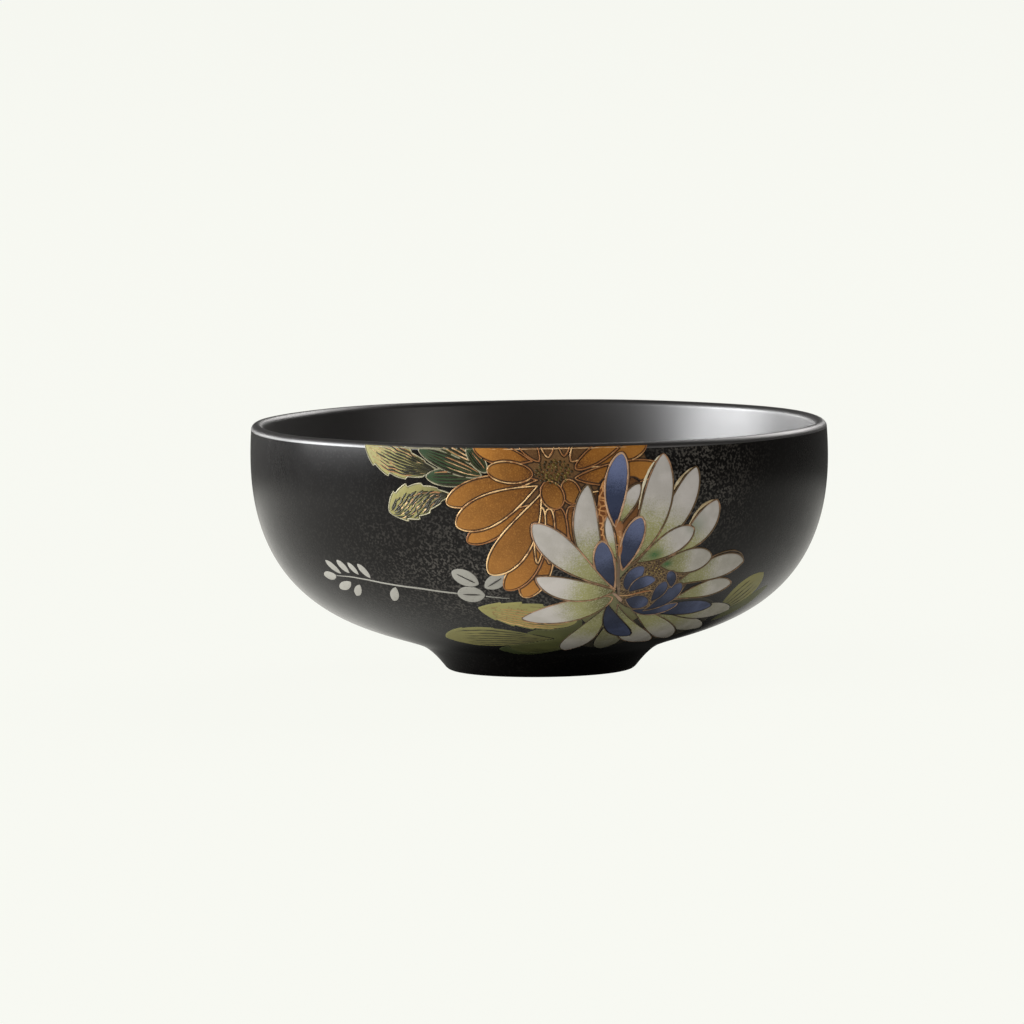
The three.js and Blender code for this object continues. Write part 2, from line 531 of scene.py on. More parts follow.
def leaf_grid(root, tip, width, bow=0, belly=0.64, point=0.7, teeth=0, bite=0, rows=60,
              columns=25):
    """A petal or leaf as a grid of places. Its middle line is a quadratic curve from root to
    tip that bows to the left by a share of its length. Its half width is a power of the
    share from the root times a power of the share left to the tip, widest at belly, and
    teeth cut into it by a share, slowly towards the tip and sharply back."""
    root, tip = np.array(root, float), np.array(tip, float)
    t = 0.5 - 0.5 * np.cos(np.linspace(0, np.pi, rows))
    if teeth:
        t = np.unique(np.round(np.concatenate([t, np.linspace(0, 1, 6 * teeth + 1)]), 4))
    run = tip - root
    control = (root + tip) / 2 + 2 * bow * np.array([-run[1], run[0]])
    middle = bezier([root, control, tip], t)
    along = np.gradient(middle, t, axis=0)
    left = np.stack([-along[:, 1], along[:, 0]], 1)
    left /= np.hypot(left[:, 0], left[:, 1])[:, None]
    rise = point * belly / (1 - belly)
    half = (t / belly) ** rise * ((1 - t) / (1 - belly)) ** point
    notch = 1 - bite * ((t * teeth) % 1) if teeth else 1
    half = width / 2 * half * notch
    v = np.sin(np.linspace(-np.pi / 2, np.pi / 2, columns))
    places = middle[:, None] + v[None, :, None] * (half[:, None] * left)[:, None]
    return places, t, v, half


class Painting:
    """Collects the grids of like shapes, so that they become one piece."""

    def __init__(self, fields=("shade",)):
        self.points, self.faces = [], []
        self.fields = {field: [] for field in fields}
        self.count = 0

    def add(self, points, keep, faces, **fields):
        faces = faces[keep[faces].any(1)]
        self.points.append(points.reshape(-1, 3))
        self.faces.append(faces + self.count)
        self.count += len(self.points[-1])
        for field, values in fields.items():
            shape = points.shape[:-1]
            self.fields[field].append(np.broadcast_to(values, shape).ravel())

    def piece(self, name, material, slot="gilding", outward=True):
        fields = {field: np.concatenate(values) for field, values in self.fields.items()}
        points, faces = np.concatenate(self.points), np.concatenate(self.faces)
        return make_piece(name, points, faces, fields, [material], outward)

    def skin(self, name, material, slot):
        """An enamel skin that gets its thickness inwards, so that it is a closed shell."""
        piece = self.piece(name, material, slot, outward=False)
        solidify = piece.modifiers.new("thickness", "SOLIDIFY")
        solidify.thickness = SHELL * MM
        solidify.offset = -1


def enamel(painting, grid, shade, rise):
    """Fills one shape: the enamel swells from its edge to its full rise, dives under the
    shapes already painted, and stops at the lip. The flush is the sum of the round hills
    that the green flushes make on the sheet."""
    places, t, v, half = grid
    edge = (1 - np.abs(v))[None, :] * half[:, None]
    under = depth_under(places)
    lift = rise * (1 - np.exp(-edge / ENAMEL_ROUNDING)) - ENAMEL_FOOT * rise / ENAMEL_RISE
    lift = lift - TUCK * smooth_step((under + TUCK_LEAD) / TUCK_RUN)
    # The edge field is the distance to the shape's own edge or to a shape that covers it; the
    # enamel paints its shadow colour there as painted shade.
    open_edge = np.clip(np.minimum(edge, -under), 0, None)
    keep = (under < COVERED) & (climb(places) < LIP_ANGLE)
    flush = sum(
        share * np.exp(-(((places - centre) / reach) ** 2).sum(-1))
        for centre, reach, share in GREEN_FLUSHES
    )
    painting.add(
        on_wall(places, lift), keep.ravel(), grid_faces(*places.shape[:2]),
        along=t[:, None], across=v[None, :], edge=open_edge, shade=shade, flush=flush,
    )


def outline_of(grid):
    """The closed outline of a shape: up its right side and back down its left."""
    places = grid[0]
    return np.concatenate([places[:, 0], places[-2:0:-1, -1]])


def on_leaf(grid, t, v):
    """Places inside a shape, by their shares along it and across it from its middle."""
    places, steps = grid[0], grid[1]
    middle = places[:, places.shape[1] // 2]
    side = places[:, -1] - middle
    centre = np.stack([np.interp(t, steps, middle[:, axis]) for axis in (0, 1)], -1)
    reach = np.stack([np.interp(t, steps, side[:, axis]) for axis in (0, 1)], -1)
    return centre + np.asarray(v)[..., None] * reach


def even_steps(path, step):
    """The same path with points an equal distance apart."""
    run = np.concatenate([[0], np.cumsum(np.hypot(*np.diff(path, axis=0).T))])
    count = max(int(run[-1] / step), 4)
    at = np.linspace(0, run[-1], count + 1)
    return np.stack([np.interp(at, run, path[:, 0]), np.interp(at, run, path[:, 1])], 1)


# Turns round a line's cross-section and up a dot's side
bead_turn = np.radians([0, 30, 60, 90, 120, 150, 180, 270])
dot_turn = np.radians([-30, 20, 50, 75, 90])
DOT_SIDES = 7


def gilt(painting, path, width=1.0, closed=False, on_top=False):
    """A raised line of gilding: half an ellipse carried along the path and set into the
    glaze below. Its width swings by two sine waves, as a brush line's does, and an open
    line tapers at its ends."""
    path = even_steps(path, GILT_STEP)
    if closed:
        path = path[:-1]
        along = np.roll(path, -1, 0) - np.roll(path, 1, 0)
    else:
        along = np.gradient(path, axis=0)
    along /= np.hypot(along[:, 0], along[:, 1])[:, None] + 1e-9
    left = np.stack([-along[:, 1], along[:, 0]], 1)
    count = len(path)
    run = np.arange(count) / count * 2 * np.pi
    waves = np.rint(count * GILT_STEP / BRUSH_WAVES) * run[:, None]
    swell = 1 + BRUSH_SWELL * np.sin(waves + rng.uniform(0, 6.3, 2)).sum(1)
    if not closed:
        swell = swell * np.sqrt(np.sin(np.linspace(0.03, np.pi - 0.03, count)))
    half = width * GILT_HALF_WIDTH * swell
    places = path[:, None] + (half[:, None] * np.cos(bead_turn))[..., None] * left[:, None]
    top = np.where(np.sin(bead_turn) > 0, GILT_RISE * min(width, GILT_MOST), GILT_FOOT)
    under = np.full(count, OPEN) if on_top else depth_under(path)
    lift = top * np.sin(bead_turn) * np.minimum(swell, 1)[:, None]
    lift = lift - TUCK * smooth_step((under + LINE_LEAD) / TUCK_RUN)[:, None]
    keep = (under < COVERED) & (climb(path) < LIP_ANGLE)
    keep = np.repeat(keep, len(bead_turn))
    points = on_wall(places, lift)
    if closed:
        points = np.concatenate([points, points[:1]])
        keep = np.concatenate([keep, keep[: len(bead_turn)]])
    faces = grid_faces(len(points), len(bead_turn), loops=True)
    painting.add(points, keep, faces, shade=rng.uniform())


SHAPE_FIELDS = ("along", "across", "edge", "shade", "flush")


def left_edge(grid, start, beyond, steps):
    """A path up a shape's left side to its tip, which moves out from 1.1 half widths to
    beyond."""
    return on_leaf(grid, np.linspace(start, 0.985, steps), np.linspace(1.1, beyond, steps))


def paint(painting, lines, shapes, outlined=1.0, rise=ENAMEL_RISE, vein_lines=None,
          shadow_lines=None, heavy_lines=None, **common):
    """Paints shapes from the foremost to the hindmost. Each is a dictionary for leaf_grid,
    which may add a line width, a shade, veins and shadows as starts and ends within the
    shape, and the width of a heavier line on its left side towards the tip."""
    for shape in shapes:
        shape = {**common, **shape}
        line = shape.pop("line", outlined)
        shade = shape.pop("shade", rng.uniform(0, 0.5))
        veins, shadows = shape.pop("veins", ()), shape.pop("shadows", ())
        left_line = shape.pop("left_line", 0)
        grid = leaf_grid(**shape)
        enamel(painting, grid, shade, rise)
        strokes = [(vein_lines, vein) for vein in veins]
        strokes += [(shadow_lines, shadow) for shadow in shadows]
        for stroke_lines, (t_start, v_start, t_end, v_end, width) in strokes:
            share = np.linspace(0, 1, 12)
            t = t_start + (t_end - t_start) * share
            gilt(stroke_lines, on_leaf(grid, t, v_start + (v_end - v_start) * share), width)
        if left_line:
            gilt(heavy_lines, left_edge(grid, 0.5, 1.35, 30), left_line)
        if line:
            gilt(lines, outline_of(grid), line, closed=True)
        laid.append(outline_of(grid))


def petals(*rows, **common):
    """Turns rows of root, tip, width, bow, belly and point into shapes."""
    names = ("root", "tip", "width", "bow", "belly", "point")
    return [{**common, **dict(zip(names, row))} for row in rows]


def disc(centre, reach_x, reach_y, **more):
    """An upright oval round a centre."""
    x, y = centre
    ends = {"root": (x, y - reach_y), "tip": (x, y + reach_y), "width": 2 * reach_x}
    return {**ends, "belly": 0.5, "point": 0.5, **more}


def scatter(centre, reach, count):
    """Evenly spread places in an oval: each turns on by the golden angle from the one before,
    at a distance that grows as the square root of its number."""
    number = np.arange(count)
    turn = number * np.pi * (3 - np.sqrt(5))
    distance = np.sqrt((number + 0.5) / count)[:, None]
    spread = distance * np.stack([np.cos(turn), np.sin(turn)], 1)
    return np.array(centre) + np.array(reach) * spread


def seeds(painting, places, width, rise):
    """Raised dots: a quarter of an ellipse turned about each place that lies in the open."""
    below_lip = climb(places) < LIP_ANGLE - LIP_MARGIN
    places = places[(depth_under(places) < -LINE_LEAD) & below_lip]
    side = np.arange(DOT_SIDES) / DOT_SIDES * 2 * np.pi
    reach = (width / 2 * np.cos(dot_turn))[:, None, None]
    ring = reach * np.stack([np.cos(side), np.sin(side)], -1)
    lift = (rise * np.sin(dot_turn))[:, None]
    size = rng.uniform(0.75, 1.2, (len(places), 1, 1))
    points = on_wall(places[:, None, None] + size[..., None] * ring, size * lift)
    one = grid_faces(len(dot_turn), DOT_SIDES, loops=True)
    first = np.arange(len(places))[:, None, None] * len(dot_turn) * DOT_SIDES
    faces = (first + one).reshape(-1, 4)
    keep = np.ones(points.size // 3, bool)
    painting.add(points, keep, faces, shade=rng.uniform(size=(len(places), 1, 1)))


def flower_enamel(name, root, middle, tip, shadow, blend, line, glint, rough=0.42):
    """Petal enamel: the root colour gives way to the middle and the tip colour in a spray of
    fine dots, with glints strewn in it and green where a flush lies. It is darker the higher
    the shade, which is a random tone, and painted shade on the lower and right-hand petals of
    the white flower and on the bud and lower blue petals. Near the gilt line and beside the
    shapes that cover it, the shadow colour is a painted shadow."""
    finish = Finish(name, {"Specular IOR Level": 0.3})
    spray = finish.noise(0.22, 3, 0.7)
    cloud = finish.noise(2.4)
    along = finish.sum(finish.field("along"), finish.fit(spray, 0.3, 0.7, -0.09, 0.09))
    colour = finish.mix(finish.fit(along, blend[0], blend[1]), root, middle)
    colour = finish.mix(finish.fit(along, blend[2], blend[3]), colour, tip)
    tone_and_painted_shade = finish.sum(finish.field("shade"), finish.fit(cloud, 0.3, 0.7, -0.2, 0.2))
    deeper = [0.3 * part for part in middle]
    # A high shade darkens a petal towards a darker middle colour: painted shade on the petals
    # given one.
    colour = finish.mix(finish.fit(tone_and_painted_shade, 0, 2, 0, 0.9, smooth=False), colour, deeper)
    colour = finish.mix(finish.fit(spray, 0.5, 0.68, 0, 0.4), colour, glint)
    dotted = finish.fit(spray, 0.3, 0.7, 0.6, 1.1)
    flush = finish.sum(finish.field("flush"), dotted, "MULTIPLY")
    colour = finish.mix(flush, colour, (0.03, 0.12, 0.035))
    # The shadow colour near the edge and beside covering shapes is a painted shadow.
    beside_line = finish.fit(finish.field("edge"), *line, 0.92, 0)
    colour = finish.mix(beside_line, colour, shadow)
    gloss = finish.fit(cloud, 0.3, 0.7, rough, rough + 0.12)
    normal = finish.bump(spray, 0.012)
    normal = finish.bump(finish.noise(0.9), 0.03, below=normal)
    return finish.wear(colour, gloss, normal)


def gilding(name, bright, worn):
    """Gold lustre on a raised line, rubbed browner in places."""
    finish = Finish(name, {"Metallic": 0.2})
    rub = finish.noise(0.7, 3, 0.6)
    drift = finish.noise(4.5)
    wear = finish.sum(finish.fit(drift, 0.35, 0.65, 0, 0.7), finish.field("shade"))
    wear = finish.fit(finish.sum(wear, finish.fit(rub, 0.35, 0.65, -0.2, 0.2)), 0.2, 1.1)
    colour = finish.mix(wear, bright, worn)
    return finish.wear(colour, finish.fit(rub, 0.3, 0.7, 0.34, 0.5), finish.bump(rub, 0.02))


def cell_enamel(name, fill, wall, size):
    """Dark ground in small cells with gilt walls: cells grow round scattered points."""
    finish = Finish(name, {"Specular IOR Level": 0.35})
    inputs = {"Vector": finish.place(), "Scale": 1 / (size * MM)}
    distance = finish.node("TexVoronoi", inputs, feature="DISTANCE_TO_EDGE")
    cloud = finish.noise(1.6)
    near = finish.fit(distance, 0.03, 0.15, 1, 0)
    near = finish.sum(near, finish.fit(cloud, 0.3, 0.6, 0.25, 1), "MULTIPLY")
    return finish.wear(finish.mix(near, fill, wall), 0.5, finish.bump(near, 0.03))


def brush(steps, *controls):
    """A brush's path: the Bezier curve of its controls, in even steps of the share."""
    return bezier(controls, np.linspace(0, 1, steps))


white_petals, blue_petals = Painting(SHAPE_FIELDS), Painting(SHAPE_FIELDS)
heart_ground, cell_ground = Painting(SHAPE_FIELDS), Painting(SHAPE_FIELDS)
orange_ground, pale_ground = Painting(SHAPE_FIELDS), Painting(SHAPE_FIELDS)
low_ground = Painting(SHAPE_FIELDS)
broad_lines, bud_lines, cream_lines = Painting(), Painting(), Painting()
brown_lines, rose_lines, stamens = Painting(), Painting(), Painting()

trunk = brush(40, (7.6, 10.4), (8.2, 6.5), (7.0, 3.0), (7.8, 0.0), (8.3, -3.2))
gilt(bud_lines, trunk[12:], 2.6)
gilt(broad_lines, trunk[:18], 3.0)
gilt(broad_lines, brush(12, (7.0, 10.8), (7.8, 9.6), (7.3, 8.0)), 5.0)
gilt(bud_lines, brush(12, (7.0, -1.9), (8.2, -2.9), (8.8, -4.2)), 2.6)
gilt(broad_lines, brush(30, (8.0, -2.6), (10.0, -3.4), (12.0, -1.9), (14.0, -2.7)), 1.3)

# High shades darken the bud's petals: painted shade.
bud_petals = petals(
    ((9.8, -2.2), (14.0, -0.5), 2.5, 0.16, 0.56),
    ((13.9, -5.1), (15.7, -1.0), 2.3, -0.05),
    ((17.0, -2.6), (16.1, 0.8), 1.8, -0.08),
    ((9.4, -3.7), (13.2, -6.0), 3.1, 0.06),
    ((12.9, -7.2), (18.6, -2.0), 3.1, -0.1, 0.66),
    ((9.4, -1.8), (11.9, 2.3), 2.8, 0.14, 0.56),
    ((10.8, -6.4), (19.0, -6.8), 2.2, -0.13),
    belly=0.6, point=0.58, shade=1.6,
)
bud_petals[0]["shade"] = bud_petals[5]["shade"] = 1.1
paint(blue_petals, bud_lines, bud_petals, outlined=0.62)

front_white = petals(
    ((7.6, -1.4), (-5.9, 10.4), 4.6, 0.03, 0.68),
    ((7.4, -1.6), (-5.2, 1.4), 4.3, 0.085, 0.55),
    ((7.2, -3.0), (-7.2, -7.9), 5.3, 0.04, 0.5),
    ((14.3, 2.2), (23.7, 1.8), 4.4, 0.0, 0.6, 0.6),
    ((10.3, 3.2), (20.1, 7.6), 4.0, 0.0, 0.64, 0.6),
)
# The right-hand petal is darkened as painted shade; the one on the left keeps its full colour.
front_white[1]["shade"] = 0
front_white[3]["shade"] = 0.9
paint(white_petals, brown_lines, front_white, outlined=0.9)
front_blue = petals(
    ((8.3, 2.2), (11.1, 10.8), 3.4, 0.03),
    ((7.3, -1.2), (4.8, 7.5), 3.2, 0.06),
    ((6.9, 9.6), (8.2, 20.9), 3.6, 0.05),
    belly=0.6, point=0.6,
)
for petal, shade in zip(front_blue, (0.6, 1.0, 0.0)):
    petal["shade"] = shade
paint(blue_petals, rose_lines, front_blue, outlined=1.25)
upper_white = petals(
    ((6.5, -0.5), (2.6, 16.4), 4.0, 0.11, 0.6),
    ((7.6, 3.4), (5.6, 11.4), 1.5, 0.04),
    ((7.5, 9.6), (11.0, 16.0), 2.4, 0.05),
)
upper_white += petals(
    ((8.8, 2.6), (15.1, 20.2), 5.0, -0.065, 0.6),
    ((9.6, 2.8), (20.9, 17.4), 4.3, -0.065, 0.66),
    ((15.0, 3.6), (24.5, 11.4), 4.3, -0.1, 0.64),
    left_line=1.7,
)
# The two petals on the far right are darkened as painted shade.
upper_white += petals(
    ((17.0, -2.4), (30.6, -1.4), 4.6, 0.08),
    ((17.5, -5.5), (28.9, -5.6), 3.8, 0.06),
    shade=0.95,
)
paint(white_petals, brown_lines, upper_white, heavy_lines=cream_lines)
curled = leaf_grid((17.0, -2.4), (30.6, -1.4), 4.6, 0.08)
gilt(brown_lines, left_edge(curled, 0.45, 1.3, 40), 1.1)
# The lower petals, blue and white, are given high shades that darken them as painted shade.
low_blue = petals(
    ((6.6, -4.5), (12.8, -16.2), 3.6, -0.08),
    ((13.4, -7.0), (26.4, -10.4), 3.8, 0.02),
    belly=0.6, point=0.6, shade=1.6,
)
paint(blue_petals, brown_lines, low_blue[:1], outlined=0)
low_white = petals(
    ((7.0, -4.0), (1.8, -24.0), 5.4, -0.025),
    ((8.2, -4.4), (18.8, -22.4), 5.0, -0.07),
    ((9.5, -4.2), (23.0, -23.0), 4.4, 0.04),
    shade=1.0,
)
paint(white_petals, brown_lines, low_white, outlined=0.28)
paint(blue_petals, brown_lines, low_blue[1:], outlined=0)
# The hind petals low on the belly are darkened most, as painted shade.
hind_white = petals(
    ((7.6, -6.0), (9.4, -24.5), 5.2, 0.02),
    ((16.0, -8.0), (32.0, -14.6), 4.8, 0.02),
    ((14.0, -8.0), (28.5, -20.5), 4.4, 0.03),
    shade=1.4,
)
hind_white[0]["shade"] = 2.0
paint(white_petals, brown_lines, hind_white, outlined=0)

seeds(stamens, scatter((13.6, 1.9), (2.3, 1.5), 34), 0.34, 0.14)
seeds(stamens, scatter((19.2, -1.6), (1.4, 0.8), 12), 0.3, 0.12)
FINE = {"rows": 110, "columns": 61}  # steps of the grids that are wide
paint(heart_ground, broad_lines, [disc((13.8, -1.4), 6.2, 5.4)], outlined=0, **FINE)
paint(cell_ground, broad_lines, [disc((5.2, 11.4), 1.3, 5.6)], outlined=0, rows=110)
paint(orange_ground, broad_lines, [disc((9.6, 12.0), 2.6, 5.0)], outlined=0, rows=110)
paint(pale_ground, broad_lines, [disc((8.0, -3.4), 6.6, 8.0)], outlined=0, **FINE)
under_petals = petals(
    ((10.0, -6.0), (26.0, -19.5), 17.0, 0.0, 0.62, 0.5),
    ((6.0, -6.0), (10.0, -23.0), 11.0, 0.0, 0.6, 0.6),
)
paint(low_ground, broad_lines, under_petals, outlined=0, **FINE)

white_enamel = flower_enamel(
    "white_enamel", (0.13, 0.125, 0.046), (0.37, 0.36, 0.15), (0.65, 0.61, 0.58),
    (0.075, 0.045, 0.022), (0.02, 0.34, 0.34, 0.68), (0.06, 0.24), (0.55, 0.52, 0.47),
)
blue_enamel = flower_enamel(
    "blue_enamel", (0.011, 0.014, 0.042), (0.034, 0.047, 0.1), (0.18, 0.22, 0.4),
    (0.014, 0.012, 0.022), (0.0, 0.3, 0.4, 0.85), (0.08, 0.3), (0.04, 0.055, 0.11),
)
pale_green = flower_enamel(
    "pale_ground", (0.12, 0.11, 0.045), (0.14, 0.135, 0.06), (0.17, 0.165, 0.08),
    (0.1, 0.088, 0.036), (0.1, 0.3, 0.4, 0.8), (0.0, 0.3), (0.2, 0.19, 0.1),
)
# The low ground turns dark over a wide band beside the shapes that cover it: painted shade
# between the petals.
low_olive = flower_enamel(
    "low_ground", (0.1, 0.088, 0.043), (0.095, 0.082, 0.045), (0.108, 0.092, 0.058),
    (0.02, 0.018, 0.012), (0.1, 0.3, 0.4, 0.8), (0.1, 2.4), (0.1, 0.09, 0.05),
)
orange_brown = flower_enamel(
    "orange_ground", (0.22, 0.085, 0.02), (0.2, 0.075, 0.016), (0.13, 0.05, 0.012),
    (0.03, 0.012, 0.006), (0.1, 0.3, 0.4, 0.8), (0.1, 0.5), (0.36, 0.17, 0.05),
)
cell_brown = cell_enamel("cell_ground", (0.17, 0.05, 0.006), (0.7, 0.34, 0.12), 1.1)
heart_brown = cell_enamel("heart_ground", (0.05, 0.026, 0.01), (0.26, 0.17, 0.07), 0.55)
for painting, name, material, slot in (
    (white_petals, "white_petals", white_enamel, "white_enamel"),
    (blue_petals, "blue_petals", blue_enamel, "blue_enamel"),
    (cell_ground, "cell_ground", cell_brown, "gilding"),
    (heart_ground, "heart_ground", heart_brown, "gilding"),
    (orange_ground, "orange_ground", orange_brown, "ochre_enamel"),
    (pale_ground, "pale_ground", pale_green, "leaf_enamel"),
    (low_ground, "low_ground", low_olive, "leaf_enamel"),
):
    painting.skin(name, material, slot)
for painting, name, gold, bright, worn in (
    (brown_lines, "brown_gilt_lines", "brown_gilding", (0.5, 0.28, 0.16), (0.13, 0.08, 0.035)),
    (rose_lines, "rose_gilt_lines", "rose_gilding", (0.62, 0.39, 0.24), (0.34, 0.19, 0.1)),
    (cream_lines, "cream_gilt_lines", "cream_gilding", (0.9, 0.82, 0.6), (0.6, 0.46, 0.26)),
    (bud_lines, "bud_gilt_lines", "bud_gilding", (0.38, 0.24, 0.16), (0.15, 0.1, 0.06)),
    (stamens, "stamens", "stamen_gilding", (0.42, 0.3, 0.1), (0.2, 0.14, 0.05)),
):
    painting.piece(name, gilding(gold, bright, worn))

# Gold chrysanthemum
# The hind flower is painted in ochre enamel, brown at the roots, and runs up to the lip,
# which cuts it off. Short petals stand round a dark seed head of raised dots.
SEED_HEAD = (-2.7, 18.4)
ochre_petals, dark_petals = Painting(SHAPE_FIELDS), Painting(SHAPE_FIELDS)
gold_lines, head_seeds = Painting(), Painting()
seeds(head_seeds, scatter(SEED_HEAD, (2.9, 1.9), 60), 0.5, 0.18)
short_petals = petals(
    ((-6.0, 18.0), (-13.1, 18.4), 3.3),
    ((-4.0, 16.9), (-1.9, 12.9), 3.5),
    ((-0.9, 17.2), (0.7, 13.6), 2.9),
    belly=0.52, point=0.5, shade=0.9,
)
paint(ochre_petals, gold_lines, short_petals, outlined=0.85)
right_petals = petals(
    ((0.6, 17.4), (14.5, 18.2), 3.6, 0.0, 0.6),
    ((0.7, 18.9), (9.0, 24.0), 2.8),
    ((2.0, 19.0), (12.3, 22.3), 3.4, 0.0, 0.7),
    belly=0.52, point=0.5, shade=0.0,
)
paint(ochre_petals, gold_lines, right_petals, outlined=0.85)
long_petals = petals(
    ((-5.2, 16.3), (-17.7, 9.1), 4.9, -0.01),
    ((-4.6, 15.2), (-12.4, 1.6), 5.0, 0.04),
    ((-5.2, 17.2), (-19.4, 12.4), 4.0, -0.06),
    ((-6.2, 13.4), (-15.9, 6.7), 3.4),
    ((-4.6, 13.0), (-5.0, 4.0), 1.6, 0.0, 0.4),
    ((-3.4, 12.8), (-3.2, 4.0), 1.7, 0.0, 0.4),
    ((-2.0, 13.0), (-1.2, 4.0), 2.4, 0.0, 0.4),
    ((0.0, 13.2), (2.0, 4.0), 2.6, 0.0, 0.4),
    ((-3.6, 9.0), (-9.9, -1.2), 3.8, 0.03),
    ((-2.4, 8.0), (-7.0, -2.6), 4.0),
    ((-6.0, 20.0), (-15.4, 21.7), 3.2),
    ((-0.6, 12.0), (0.8, 2.0), 3.6),
    ((1.0, 15.0), (12.0, 13.0), 3.8, -0.03),
    ((0.8, 14.4), (8.8, 7.0), 4.2),
    ((0.2, 12.6), (4.6, 1.6), 4.0),
)
for petal, shade in zip(long_petals, (0.75, 0.7, 1.0, 0.15)):
    petal["shade"] = shade
for petal in long_petals[8:11]:
    petal["shade"] = 0
paint(ochre_petals, gold_lines, long_petals, outlined=0.8, point=0.6)
hind_ochre = petals(
    ((0.0, 20.0), (3.4, 24.0), 3.0),
    ((-1.1, 20.8), (-1.0, 24.0), 1.8),
    ((-3.6, 20.6), (-3.8, 24.5), 2.2),
    ((-5.0, 20.0), (-8.4, 24.6), 2.6),
    belly=0.6, point=0.5,
)
hind_ochre += [disc((-2.0, 17.0), 6.5, 8.0), disc((6.0, 18.4), 6.5, 6.0)]
paint(dark_petals, gold_lines, hind_ochre[:4])
paint(dark_petals, gold_lines, hind_ochre[4:], outlined=0, **FINE)

ochre_enamel = flower_enamel(
    "ochre_enamel", (0.13, 0.043, 0.008), (0.3, 0.113, 0.015), (0.44, 0.182, 0.03),
    (0.022, 0.009, 0.004), (0.0, 0.32, 0.35, 0.95), (0.2, 0.4), (0.54, 0.25, 0.05),
)
dark_ochre = flower_enamel(
    "dark_ochre_enamel", (0.09, 0.04, 0.012), (0.13, 0.06, 0.02), (0.19, 0.1, 0.036),
    (0.018, 0.009, 0.004), (0.0, 0.3, 0.4, 0.9), (0.2, 0.4), (0.24, 0.14, 0.05),
)
ochre_petals.skin("ochre_petals", ochre_enamel, "ochre_enamel")
dark_petals.skin("dark_petals", dark_ochre, "ochre_enamel")
pale_gilt = gilding("pale_gilding", (1.0, 0.66, 0.31), (0.34, 0.14, 0.045))
seed_gilt = gilding("seed_gilding", (0.17, 0.12, 0.02), (0.045, 0.027, 0.005))
gold_lines.piece("gold_gilt_lines", pale_gilt)
broad_lines.piece("broad_gilt_lines", pale_gilt)
head_seeds.piece("seed_head", seed_gilt)

# Leaves
# Toothed leaves reach out from behind the flowers. The upper ones have gilt veins hatched
# over yellow-green enamel. The lower ones are soft brush leaves without an outline, with
# strokes of rust and dark green.
leaf_green = Painting(SHAPE_FIELDS)
leaf_lines, lip_lines, vein_lines = Painting(), Painting(), Painting()
leaf_shadows, rust_lines = Painting(), Painting()


def hatched(count, start, end, low, high, width):
    """Near-parallel veins side by side across a leaf, each starting a little further on."""
    across = np.linspace(low, high, count)
    begin = start + 0.12 * np.abs(across) + rng.uniform(-0.04, 0.04, count)
    finish = end - 0.1 * np.abs(across) + rng.uniform(-0.05, 0.05, count)
    return [(b, v, f, v * 0.94, width) for b, v, f in zip(begin, across, finish)]


def short_strokes(rows, count, start, end, low, high, width):
    """Rows of short slanting strokes on part of a leaf."""
    step = (high - low) / rows
    return [
        (t, low + (row - 0.3) * step, t + 0.15, low + (row + 0.9) * step, width)
        for row in range(rows)
        for t in np.linspace(start, end, count) + rng.uniform(-0.03, 0.03, count)
    ]


emerald_lobes = petals(
    ((-13.2, 18.0), (-16.5, 21.6), 2.2),
    ((-14.0, 17.4), (-24.5, 20.3), 2.8),
    ((-14.5, 17.2), (-23.0, 16.2), 3.0),
    shade=0.1, belly=0.5, point=0.6,
)
emerald_lobes[0]["veins"] = [(0.1, -0.2, 0.8, -0.1, 1.0), (0.1, 0.4, 0.7, 0.4, 0.8)]
emerald_lobes[1]["veins"] = [
    (0.05, -0.6, 0.6, -0.5, 1.1),
    (0.1, -0.1, 0.75, 0.0, 0.9),
    (0.0, 0.4, 0.6, 0.5, 0.9),
]
emerald_lobes[2]["veins"] = [(0.05, -0.5, 0.85, -0.6, 1.1)]
for lobe in emerald_lobes:
    lobe["shadows"] = hatched(5, 0.05, 0.92, -0.75, 0.8, 1.3)
upper_leaves = [
    {"root": (-18.4, 14.0), "tip": (-28.9, 9.2), "width": 6.0, "bow": -0.07, "teeth": 5,
     "bite": 0.2, "shade": 0.78,
     "veins": short_strokes(4, 6, 0.14, 0.74, -0.15, 0.9, 0.7) + [(0.0, -0.5, 0.62, -0.3, 1.1)],
     "shadows": short_strokes(6, 10, 0.06, 0.8, -0.5, 0.95, 1.2)},
    {"root": (-20.5, 17.4), "tip": (-34.4, 19.7), "width": 6.2, "bow": 0.05, "teeth": 5,
     "bite": 0.2, "shade": 1.0, "veins": hatched(9, 0.04, 0.93, -0.85, 0.8, 0.8),
     "shadows": hatched(9, 0.0, 0.85, -0.8, 0.75, 1.4)},
    {"root": (-12.5, 18.5), "tip": (-23.0, 22.5), "width": 5.0, "teeth": 4, "bite": 0.12,
     "shade": 0.5, "veins": hatched(6, 0.1, 0.9, -0.7, 0.7, 0.9),
     "shadows": hatched(5, 0.0, 0.9, -0.6, 0.6, 1.5)},
]
paint(leaf_green, leaf_lines, emerald_lobes + upper_leaves, outlined=0.8,
      vein_lines=vein_lines, shadow_lines=leaf_shadows)

